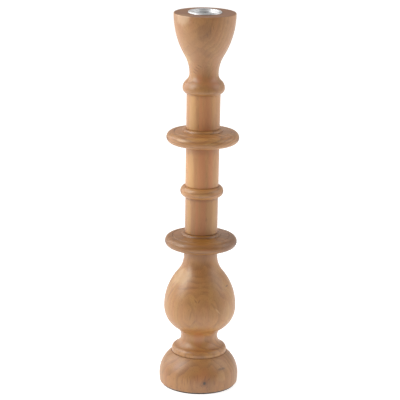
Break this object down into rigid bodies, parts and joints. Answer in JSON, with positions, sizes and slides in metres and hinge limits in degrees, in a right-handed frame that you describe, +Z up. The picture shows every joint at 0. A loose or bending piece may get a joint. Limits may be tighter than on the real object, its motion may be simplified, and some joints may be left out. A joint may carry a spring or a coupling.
{
  "type": "wooden candlestick",
  "caption": "Tall turned wooden candlestick with a metal cup that holds one taper candle upright on a domed foot.",
  "frame": {"origin": "centre of the felt's underside, where the candlestick stands on the table", "axes": "+Z up along the turning axis, towards the candle; +X and +Y are free, because the object is round"},
  "size_m": [0.0734, 0.0734, 0.3513],
  "materials": {
    "felt": "matte",
    "base_wood": "satin",
    "bulb_wood": "satin",
    "disc_wood": "satin",
    "shaft_wood": "satin",
    "ring_wood": "satin",
    "head_wood": "satin",
    "cup_metal": "satin",
    "steel": "zinc plated"
  },
  "bodies": {
    "stand": {"felt_pad": "felt", "base": "base_wood", "bulb": "bulb_wood", "lower_disc": "disc_wood", "lower_shaft": "shaft_wood", "ring_collar": "ring_wood", "middle_shaft": "shaft_wood", "upper_disc": "disc_wood", "upper_shaft": "shaft_wood", "cup_head": "head_wood", "tie_rod": "steel", "base_washer": "steel", "base_nut": "steel", "head_washer": "steel", "head_nut": "steel"},
    "cup": {"candle_cup": "cup_metal"}
  },
  "joints": [
    {"name": "cup_lift", "type": "slide", "parent": "stand", "child": "cup", "axis": [0, 0, 1], "range_m": [0, 0.045]}
  ]
}
